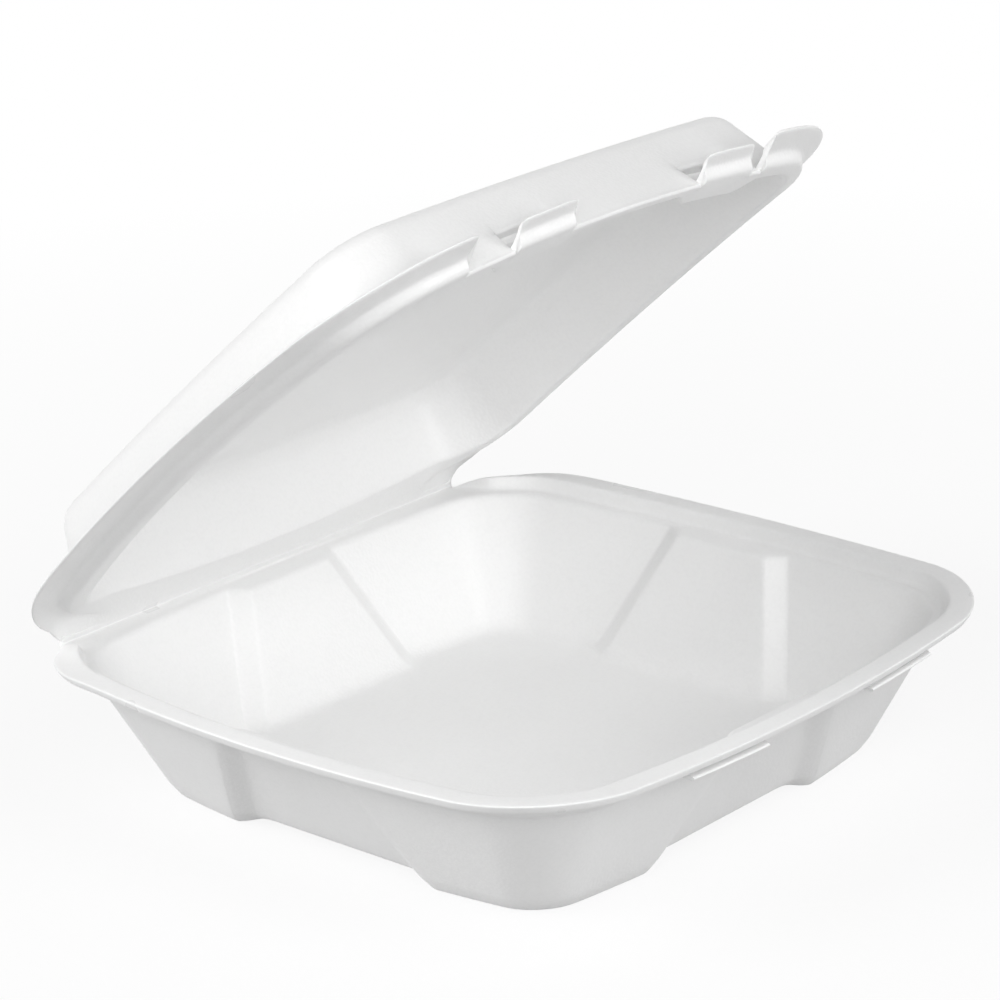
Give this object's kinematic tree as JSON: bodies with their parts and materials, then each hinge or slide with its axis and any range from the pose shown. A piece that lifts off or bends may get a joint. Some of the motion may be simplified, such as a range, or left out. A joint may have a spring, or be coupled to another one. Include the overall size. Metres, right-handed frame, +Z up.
{
  "type": "foam hinged lid container",
  "caption": "Square white foam take-away container: a tray with sunk wall panels and a shallow lid on a fold hinge, with two latch tabs at the front.",
  "frame": {"origin": "middle of the tray's flat underside, on the surface it stands on", "axes": "+X along the hinge, -Y towards the latch side, +Z up"},
  "size_m": [0.24, 0.2301, 0.1969],
  "materials": {
    "foam": "satin"
  },
  "bodies": {
    "tray": {"base_tray": "foam"},
    "cover": {"lid": "foam"}
  },
  "joints": [
    {"name": "lid_hinge", "type": "hinge", "parent": "tray", "child": "cover", "pos_m": [0, 0.1085, 0.0439], "axis": [1, 0, 0], "range_deg": [-139, 41]}
  ]
}
